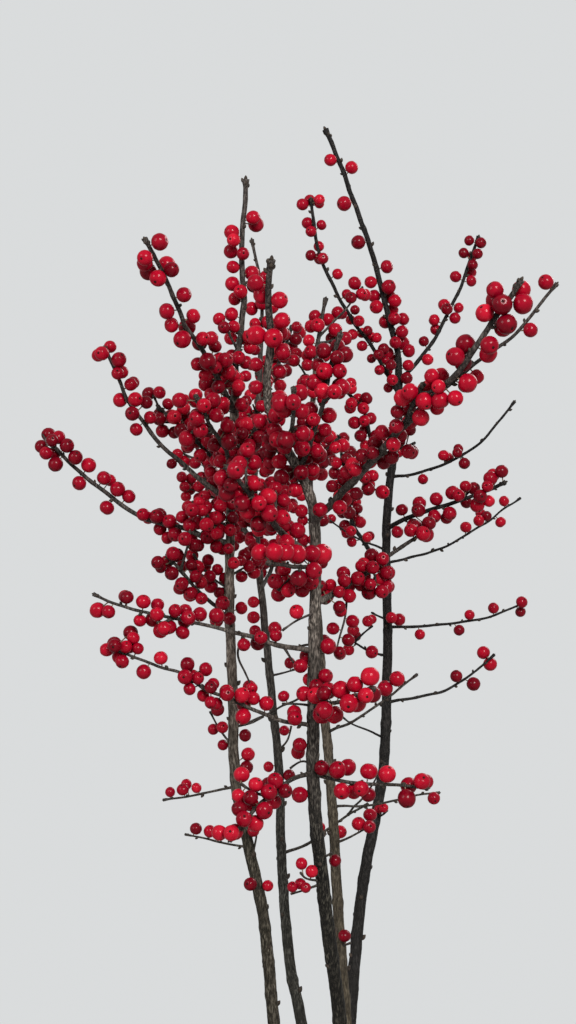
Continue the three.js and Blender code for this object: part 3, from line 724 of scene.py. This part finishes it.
def give(node, **inputs):
    """Sets a node's inputs to constants or links them to other nodes' outputs."""
    for name, given in inputs.items():
        socket = node.inputs[name.replace("_", " ")]
        if isinstance(given, bpy.types.NodeSocket):
            node.id_data.links.new(given, socket)
        else:
            socket.default_value = given
    return node


def add_node(tree, kind, **inputs):
    return give(tree.nodes.new(kind), **inputs)


def material(name, roughness, specular=0.5):
    made = bpy.data.materials.new(name)
    made.use_nodes = True
    shader = made.node_tree.nodes["Principled BSDF"]
    give(shader, Roughness=roughness, Specular_IOR_Level=specular)
    return made, made.node_tree, shader


def own_place(tree):
    return tree.nodes.new("ShaderNodeTexCoord").outputs["Object"]


def noise_node(tree, scale, detail, stretch=(1, 1, 1)):
    """Noise over the object's own coordinates, stretched along chosen axes."""
    mapping = add_node(tree, "ShaderNodeMapping", Vector=own_place(tree), Scale=stretch)
    where = mapping.outputs["Vector"]
    return add_node(tree, "ShaderNodeTexNoise", Vector=where, Scale=scale, Detail=detail).outputs["Fac"]


def ramp(tree, value, *stops):
    """Colours by a value: stops are (place, (red, green, blue))."""
    made = add_node(tree, "ShaderNodeValToRGB", Fac=value)
    band = made.color_ramp
    while len(band.elements) < len(stops):
        band.elements.new(0.5)
    for element, (where, colour) in zip(band.elements, stops):
        element.position = where
        element.color = (*colour, 1)
    return made.outputs["Color"]


def mixed(tree, share, one, other):
    """One colour changed for another by a share from 0 to 1."""
    made = tree.nodes.new("ShaderNodeMix")
    made.data_type = "RGBA"
    return give(made, Factor=share, A=one, B=other).outputs["Result"]


def bump(shader, height, distance, strength):
    made = add_node(shader.id_data, "ShaderNodeBump", Height=height, Distance=distance, Strength=strength)
    give(shader, Normal=made.outputs["Normal"])


def painted_shade_by_height(tree):
    """0 low down, where the bark is darker with painted shade, and 1 high up, where it is paler."""
    up = add_node(tree, "ShaderNodeSeparateXYZ", Vector=own_place(tree)).outputs["Z"]
    share = add_node(tree, "ShaderNodeMapRange", Value=up, From_Min=SHADED_BELOW, From_Max=UNSHADED_ABOVE)
    return share.outputs["Result"]


def streaked(tree, streaks, blotches, tones):
    """Streaks of three tones, with patches where the palest doesn't show."""
    dark, mid, pale = tones
    plain = ramp(tree, streaks, (0.36, dark), (0.50, mid), (0.66, pale))
    dull = ramp(tree, streaks, (0.40, dark), (0.60, mid))
    patches = ramp(tree, blotches, (0.40, BLACK), (0.62, WHITE))
    return mixed(tree, patches, plain, dull)


def bark_material(name, low_shaded_tones, high_tones, pore_scale=PORE_SCALE):
    """Smooth bark with fine long streaks and small pale pores, darker low down with painted shade and paler
    high up.
    """
    made, tree, shader = material(name, 0.78, 0.12)
    streaks = noise_node(tree, 1300, 5, (1, 1, 0.24))
    blotches = noise_node(tree, 130, 3, (1, 1, 0.5))
    low = streaked(tree, streaks, blotches, low_shaded_tones)
    high = streaked(tree, streaks, blotches, high_tones)
    # Painted shade: the darker low tones give way to the high ones going up.
    colour = mixed(tree, painted_shade_by_height(tree), low, high)
    pores = add_node(tree, "ShaderNodeTexVoronoi", Scale=pore_scale).outputs["Distance"]
    pore_spots = ramp(tree, pores, (0.12, WHITE), (0.22, BLACK))
    pore_colour = ramp(tree, blotches, (0.3, low_shaded_tones[2]), (0.7, PORE_TONE))
    give(shader, Base_Color=mixed(tree, pore_spots, colour, pore_colour))
    bump(shader, streaks, 0.35 * MM, 0.6)
    return made


def berry_material(name, colour, deep):
    """A taut glossy skin with a faint mottling."""
    made, tree, shader = material(name, 0.42, 0.01)
    mottled = ramp(tree, noise_node(tree, 260, 2), (0.35, deep), (0.65, colour))
    give(shader, Coat_Weight=0.18, Coat_Roughness=0.16, Base_Color=mottled)
    bump(shader, noise_node(tree, 170, 1), 0.10 * MM, 0.3)
    return made


def clay_material():
    """Terracotta with a bloom of lime."""
    made, tree, shader = material("pot_clay", 0.78)
    grain = noise_node(tree, 60, 5)
    dark, mid, pale = (0.36, 0.15, 0.085), (0.47, 0.21, 0.12), (0.56, 0.28, 0.17)
    colour = ramp(tree, grain, (0.3, dark), (0.5, mid), (0.7, pale))
    bloom = ramp(tree, noise_node(tree, 9, 4, (1, 1, 0.6)), (0.52, BLACK), (0.75, (0.45, 0.45, 0.45)))
    lime = ramp(tree, grain, (0.3, (0.56, 0.42, 0.34)), (0.7, (0.66, 0.54, 0.46)))
    give(shader, Base_Color=mixed(tree, bloom, colour, lime))
    bump(shader, noise_node(tree, 420, 4), 0.4 * MM, 0.5)
    return made


def soil_material():
    made, tree, shader = material("soil", 0.95)
    dark, mid, pale = (0.016, 0.010, 0.007), (0.05, 0.032, 0.021), (0.11, 0.075, 0.05)
    give(shader, Base_Color=ramp(tree, noise_node(tree, 330, 6), (0.3, dark), (0.55, mid), (0.75, pale)))
    bump(shader, noise_node(tree, 700, 5), 1.2 * MM, 0.8)
    return made


def plain_material(name, colour, other, roughness, specular=0.5):
    """Two near colours mixed by fine noise."""
    made, tree, shader = material(name, roughness, specular)
    give(shader, Base_Color=ramp(tree, noise_node(tree, 600, 3), (0.35, colour), (0.65, other)))
    return made


# Base colours of the berries, with a deeper tone of each, and how often a spray has it
BERRY_SHADES = [
    ("crimson", (0.183, 0.001, 0.0085), (0.134, 0.0007, 0.0062)),
    ("scarlet", (0.245, 0.0017, 0.0105), (0.18, 0.0011, 0.008)),
    ("deep", (0.111, 0.0006, 0.005), (0.073, 0.0004, 0.0038)),
    ("bright", (0.305, 0.0045, 0.015), (0.235, 0.0026, 0.011)),
]
SHADE_WEIGHTS = (5, 3.6, 2.6, 0.8)
ODD_SHADES = 0.22

# Dark, middle and pale tones of each bark, low down and high up. Low down they hold painted shade under the
# crown as well as the bark's own colour
BARK_TONES = {
    "stem_left": (
        ((0.006, 0.005, 0.003), (0.018, 0.015, 0.01), (0.09, 0.079, 0.061)),
        ((0.028, 0.021, 0.016), (0.087, 0.069, 0.057), (0.24, 0.203, 0.171))),
    "stem_back": (
        ((0.006, 0.006, 0.005), (0.016, 0.015, 0.012), (0.072, 0.069, 0.059)),
        ((0.014, 0.012, 0.01), (0.032, 0.027, 0.024), (0.084, 0.075, 0.065))),
    "stem_front": (
        ((0.001, 0.0009, 0.0007), (0.0035, 0.003, 0.0023), (0.044, 0.04, 0.031)),
        ((0.012, 0.01, 0.008), (0.058, 0.048, 0.041), (0.215, 0.187, 0.16))),
    "stem_middle": (
        ((0.014, 0.011, 0.007), (0.034, 0.027, 0.018), (0.085, 0.071, 0.049)),
        ((0.026, 0.02, 0.015), (0.061, 0.049, 0.038), (0.135, 0.112, 0.09))),
    "stem_right": (
        ((0.0026, 0.0023, 0.0022), (0.0068, 0.0062, 0.0059), (0.023, 0.021, 0.02)),
        ((0.0016, 0.0013, 0.0013), (0.0046, 0.004, 0.004), (0.02, 0.017, 0.017))),
}
BLACK_STEM = "stem_right"
BOUGH_TONES = (
    ((0.011, 0.009, 0.007), (0.032, 0.026, 0.022), (0.092, 0.079, 0.068)),
    ((0.014, 0.011, 0.01), (0.044, 0.037, 0.032), (0.125, 0.107, 0.093)))
TWIG_TONES = (
    ((0.009, 0.008, 0.006), (0.024, 0.02, 0.017), (0.068, 0.059, 0.05)),
    ((0.009, 0.007, 0.006), (0.025, 0.02, 0.018), (0.075, 0.063, 0.057)))
PORE_TONE = (0.16, 0.145, 0.12)
PORE_SCALES = {"stem_front": 900}
# Heights where the bark's painted shade is full below and gone above, even between
SHADED_BELOW = 0.38
UNSHADED_ABOVE = 0.50


def pick_shade(dice):
    return dice.choices(range(len(BERRY_SHADES)), SHADE_WEIGHTS)[0]


# The pieces

# How many sides each kind of wood has, and how fine and how deep its relief is
STEM_WOOD = (20, 330, 0.075)
BOUGH_WOOD = (14, 450, 0.07)
TWIG_WOOD = (10, 600, 0.09)
FINE_WOOD = (7, 700, 0.10)

# Swellings of the wood at its nodes and at its foot. A pair is a range for the dice, of gaps and widths
# in mm.
FIRST_NODE = 20 * MM
NODE_GAPS = (16, 40)
NODE_WIDTHS = (1.6, 2.6)
NODE_SWELLINGS = (0.05, 0.13)
COLLAR_SWELLING = 0.55
COLLAR_WIDTH = 2.4 * MM


def bark_relief(frequency, depth):
    """Radius factors for bark: long low lumps and small pores that stand out."""
    long_ways = (1, 1, 0.35)
    finer = 3.1

    def relief(points):
        flat = points.reshape(-1, 3)
        lumps = [noise.noise(Vector(point * frequency * long_ways)) for point in flat]
        pores = [noise.noise(Vector(point) * frequency * finer) for point in flat]
        factors = 1 + depth * np.array(lumps) + depth * 0.5 * np.array(pores)
        return factors.reshape(points.shape[:2])
    return relief


def wood_tube(limb, radii, wood):
    sides, frequency, depth = wood
    return tube(limb.line, radii, sides, bark_relief(frequency, depth))


def with_nodes(limb, dice):
    """A limb's radii, which swell a little at each node of the wood."""
    radii = limb.radii()
    along = FIRST_NODE
    while along < limb.length:
        width = dice.uniform(*NODE_WIDTHS) * MM
        swelling = dice.uniform(*NODE_SWELLINGS)
        radii = radii * (1 + swelling * np.exp(-((limb.reached - along) / width) ** 2))
        along += dice.uniform(*NODE_GAPS) * MM
    return radii


def with_collar(limb, radii):
    """Radii that widen where the limb leaves its parent."""
    return radii * (1 + COLLAR_SWELLING * np.exp(-limb.reached / COLLAR_WIDTH))


def by_shade(limbs, names, grey_tones):
    """The shade, names and tones of the limbs on the grey stems, and of those on the black one."""
    for shade, tones in [("grey", grey_tones), ("black", BARK_TONES[BLACK_STEM])]:
        yield shade, [name for name in names if limbs[name].shade == shade], tones


def make_wood(limbs):
    """The stems one by one and the boughs together, with the bark's relief."""
    dice = random.Random(SEED)
    for name in STEMS:
        stem = wood_tube(limbs[name], with_nodes(limbs[name], dice), STEM_WOOD)
        bark = bark_material("bark_" + name, *BARK_TONES[name], PORE_SCALES.get(name, PORE_SCALE))
        make_piece("bark_" + name, [stem], bark, [name])
    for shade, names, tones in by_shade(limbs, BOUGHS, BOUGH_TONES):
        boughs = []
        for name in names:
            limb = limbs[name]
            boughs.append(wood_tube(limb, with_collar(limb, with_nodes(limb, dice)), BOUGH_WOOD))
        make_piece("boughs_" + shade, boughs, bark_material("bark_boughs_" + shade, *tones), names)


def make_sprigs(limbs):
    """The limbs of the sprigs that the photograph shows, with their fruit."""
    sprigs = []
    for parent, start, *points, fruit, plump in SPRIGS:
        points = [spot(point) for point in points]
        base = side_start(limbs[parent], start, points[0])[0]
        limb = Limb(limbs[parent].stem, [base, *points], SPRIG_RADII, knob=SIDE_KNOB)
        sprigs.append((limb, fruit, plump))
    return sprigs


def make_twigs(limbs, crown):
    """The main twigs of the masses and every finer twig, joined."""
    dice = random.Random(SEED + 1)
    for shade, names, tones in by_shade(limbs, MASSES, TWIG_TONES):
        twigs = []
        for name in names:
            limb = limbs[name]
            radii = with_nodes(limb, dice)
            if MASSES[name].start:
                radii = with_collar(limb, radii)
            twigs.append(wood_tube(limb, radii, TWIG_WOOD))
        for twig in crown.twigs:
            if twig.shade == shade:
                twigs.append(wood_tube(twig, with_collar(twig, twig.radii()), FINE_WOOD))
        bark = bark_material("bark_twigs_" + shade, *tones)
        make_piece("twigs_" + shade, twigs, bark, names)


def bud_shape():
    """A pointed bud of unit length along Z, widest below its middle."""
    heights = np.linspace(0, 1, 6)
    radii = 0.36 * np.sin(np.pi * (0.18 + 0.80 * heights)) ** 0.8
    return profile_solid(radii, heights, 7)


def make_buds(limbs, crown):
    """Side buds along the wood and a tight knot of buds at every tip."""
    dice = random.Random(SEED + 2)
    points, faces = bud_shape()
    buds = []

    def set_bud(root, heading, length):
        bud = root + turned_to(points * length, unit(heading), dice.uniform(0, math.tau))
        buds.append((bud, faces))

    root_share, rise = 0.75, 1.1
    for limb, part, turn, size in crown.buds:
        tangent = limb.tangent(part)
        out = sideways(tangent, turn)
        set_bud(limb.point(part) + out * limb.radius(part) * root_share, out + tangent * rise, size)
    tip_buds, uneven, back, back_step, aside = 4, 0.4, 0.8, 0.6, 0.5
    for limb in [limbs[name] for name in MASSES] + crown.twigs:
        tip, tangent, wide = limb.point(1), limb.tangent(1), limb.radius(1)
        set_bud(tip - tangent * 0.6 * MM, tangent, wide * 1.3)
        for step in range(tip_buds):
            out = sideways(tangent, step * math.tau / tip_buds + dice.uniform(-uneven, uneven))
            root = tip - tangent * wide * (back + back_step * step) + out * wide * aside
            set_bud(root, tangent + out * aside, wide * dice.uniform(0.9, 1.3))
    scales = plain_material("bud_scales", (0.012, 0.009, 0.007), (0.042, 0.032, 0.025), 0.8, 0.12)
    make_piece("buds", buds, scales)


def berry_shape():
    """A berry of unit radius, dimpled at its free end, up, and a little at its stalk."""
    down = np.interp(np.linspace(0, 1, 12), [0, 0.5, 1], [0.10, 1.35, 3.02])
    reach = 1
    for middle, width, swelling in [(0, 0.24, -0.13), (0.45, 0.16, 0.025), (math.pi, 0.30, -0.07)]:
        reach = reach + swelling * np.exp(-((down - middle) / width) ** 2)
    radii, heights = reach * np.sin(down), reach * np.cos(down)
    return profile_solid(radii[::-1], heights[::-1], 16)


def set_on(berry, points):
    """Points of a unit berry, brought to this one's size, place and heading."""
    sized = points * (1, 1, berry.squat) * berry.size
    return berry.centre + turned_to(sized, berry.heading, berry.spin)


def make_berries(crown):
    points, faces = berry_shape()
    for index, (name, colour, deep) in enumerate(BERRY_SHADES):
        berries = [(set_on(berry, points), faces) for berry in crown.berries if berry.shade == index]
        make_piece("berries_" + name, berries, berry_material("berry_" + name, colour, deep))


def make_berry_ends(crown):
    """A small dark star with five points, in each berry's dimple."""
    corners, point_reach, notch_reach = 10, 0.24, 0.13
    under, level, thick, over = 0.84, 0.905, 0.05, 0.955
    rim = ring(np.where(np.arange(corners) % 2 == 0, point_reach, notch_reach), level, corners)
    star = np.vstack([rim - (0, 0, thick), rim, [[0, 0, under], [0, 0, over]]])
    faces = ring_faces(2, corners)
    ends = [(set_on(berry, star), faces) for berry in crown.berries]
    dark = plain_material("berry_end", (0.008, 0.002, 0.002), (0.024, 0.005, 0.005), 0.9, 0.08)
    make_piece("berry_ends", ends, dark)


def make_stalks(crown):
    """The berries' short stalks, which sag a little and are thicker at both ends."""
    stalks = []
    radii = STALK_RADIUS * np.array([1.5, 1.0, 1.0, 1.3])
    into_berry, into_wood, sag = 0.12, 0.4, 0.15
    for berry in crown.berries:
        end = berry.root + berry.heading * (berry.stalk + berry.size * into_berry)
        start = berry.root - berry.heading * into_wood * MM
        line = start + (end - start) * np.linspace(0, 1, len(radii))[:, None]
        line[1:3, 2] -= sag * MM
        stalks.append(tube(line, radii, 6))
    brown = plain_material("stalk", (0.055, 0.035, 0.020), (0.12, 0.075, 0.040), 0.6)
    make_piece("stalks", stalks, brown)


def make_pot():
    """The clay pot: turned walls with soft edges, a rim band and a shallow foot."""
    top, _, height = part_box("pot")[1]
    foot, rim_under, wall = 66 * MM, height - 30 * MM, top - 5 * MM
    inside_top, inside_foot, floor = top - 13 * MM, foot - 8 * MM, 10 * MM

    def around(radius, level, *offsets):
        """Points by a corner: offsets are (mm out, mm up) from it."""
        return [(radius + out * MM, level + up * MM) for out, up in offsets]

    outline = around(foot, 0, (-10, 1.2), (-7, 0), (-2.5, 0), (-0.7, 0.6), (0, 2.2))
    turning_marks, mark_pitch, mark_depth = 22, 60, 0.1 * MM
    for part in np.linspace(0.08, 1, turning_marks):
        ripple = mark_depth * math.sin(part * mark_pitch)
        outline.append((foot + (wall - foot) * part + ripple - mark_depth, rim_under * part))
    outline += around(wall, rim_under, (1.0, 0.2))
    outline += around(top, rim_under, (-1.2, 0.9), (-0.3, 2.0), (0, 3.6))
    outline += around(top, height, (-0.1, -15), (0, -3), (-0.5, -1.2), (-1.8, -0.2), (-3.5, 0))
    outline += around(inside_top, height, (3.0, 0), (1.2, -0.4), (0.3, -1.6), (0, -3.5), (-1.2, -12))
    outline.append((inside_foot, floor))
    walls = profile_solid(*np.array(outline).T, ROUND_SIDES)
    make_piece("clay_pot", [walls], clay_material(), ["pot"])


def make_soil():
    """Crumbly soil: a low uneven bed with loose crumbs on it."""
    dice = random.Random(SEED + 3)
    edge, _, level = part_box("soil")[1]
    rings, sides, crumbs = 34, 110, 900
    fall = 2.6 * MM
    lumps = [(130, 1.1), (420, 0.9)]
    bed = []
    for step in range(rings):
        part = 1 - step / rings
        row = ring(part * edge, 0.0, sides)
        for point in row:
            rough = sum(noise.noise(Vector(point) * fine) * high * MM for fine, high in lumps)
            point[2] = level - 1.0 * MM - fall * part ** 3 + rough
        bed.append(row)
    skirt = bed[0] - (0, 0, 8 * MM)
    ends = [[0, 0, level - 9 * MM], [0, 0, level - 0.8 * MM]]
    parts = [(np.vstack([skirt, *bed, ends]), ring_faces(rings + 1, sides))]
    crumb, faces = profile_solid([0.5, 0.95, 1.0, 0.55], [-0.7, -0.3, 0.3, 0.75], 6)
    for _ in range(crumbs):
        away = edge * 0.97 * math.sqrt(dice.random())
        angle = dice.uniform(0, math.tau)
        size = dice.uniform(0.5, 1.0) ** 2 * 2.3 * MM
        up = level - 1.3 * MM - fall * (away / edge) ** 3 + size * 0.25
        where = (away * math.cos(angle), away * math.sin(angle), up)
        stretch = [dice.uniform(*span) for span in [(0.7, 1.3), (0.7, 1.3), (0.5, 1.0)]]
        heading = unit(np.array([dice.uniform(-1, 1) for _ in "xyz"]))
        parts.append((where + turned_to(crumb * size * stretch, heading, angle), faces))
    make_piece("potting_soil", parts, soil_material(), ["soil"])


# The stage

# Each lamp: where it is, how wide, its watts and its colour
LAMPS = {
    "key": ((0.45, -1.7, 1.5), 0.75, 63, (1.0, 0.985, 0.96)),
    "fill": ((-1.3, -1.0, 1.2), 0.8, 14, (0.95, 0.98, 1.0)),
    "back": ((1.1, 1.5, 1.5), 1.0, 26, (1.0, 0.99, 0.98)),
}
LAMPS_AIM = (0, 0, 0.5)


def make_camera():
    """The photograph's view: level, at the height of the crown."""
    data = bpy.data.cameras.new("camera")
    data.sensor_fit = "VERTICAL"
    data.sensor_height = 36
    data.lens = data.sensor_height * EYE_DISTANCE / (FRAME_HIGH * PIXEL_SIZE)
    camera = place("camera", data)
    camera.location = (EYE_ACROSS, -EYE_DISTANCE, EYE_HEIGHT)
    camera.rotation_euler = (math.radians(90), 0, 0)
    bpy.context.scene.camera = camera


def make_lamps():
    for name, (where, size, watts, colour) in LAMPS.items():
        data = bpy.data.lights.new(name, "AREA")
        data.shape = "DISK"
        data.size = size
        data.energy = watts
        data.color = colour
        lamp = place(name, data)
        lamp.location = where
        lamp.rotation_euler = (Vector(LAMPS_AIM) - Vector(where)).to_track_quat("-Z", "Y").to_euler()


def make_stage():
    """A pale floor and a pale room."""
    world = bpy.data.worlds.new("room")
    world.use_nodes = True
    give(world.node_tree.nodes["Background"], Color=(0.70, 0.715, 0.72, 1))
    bpy.context.scene.world = world
    bpy.context.scene.view_settings.view_transform = "Standard"
    radius, thick = 0.78, 0.02
    disc = profile_solid([radius, radius], [-thick, 0], ROUND_SIDES)
    pale = plain_material("floor", (0.33, 0.333, 0.33), (0.345, 0.345, 0.341), 0.85)
    place("floor", make_mesh("floor", [disc], pale))


def main():
    make_camera()
    make_stage()
    make_lamps()
    noise.seed_set(SWAY_SEED)
    limbs = make_limbs()
    crown = Crown(limbs)
    dice = random.Random(SEED)
    sprigs = make_sprigs(limbs)
    for limb, fruit, plump in sprigs:
        crown.take_twig(limb)
    grown = {**MASSES, **BOUGHS, **STEMS}
    for number, (name, growth) in enumerate(grown.items()):
        crown.grow(limbs[name], growth.fruit, growth.plump, number)
        crown.set_buds(limbs[name], dice)
    for number, (limb, fruit, plump) in enumerate(sprigs, len(grown)):
        crown.grow(limb, fruit, plump, number)
    make_wood(limbs)
    make_twigs(limbs, crown)
    make_buds(limbs, crown)
    make_berries(crown)
    make_berry_ends(crown)
    make_stalks(crown)
    make_pot()
    make_soil()


main()
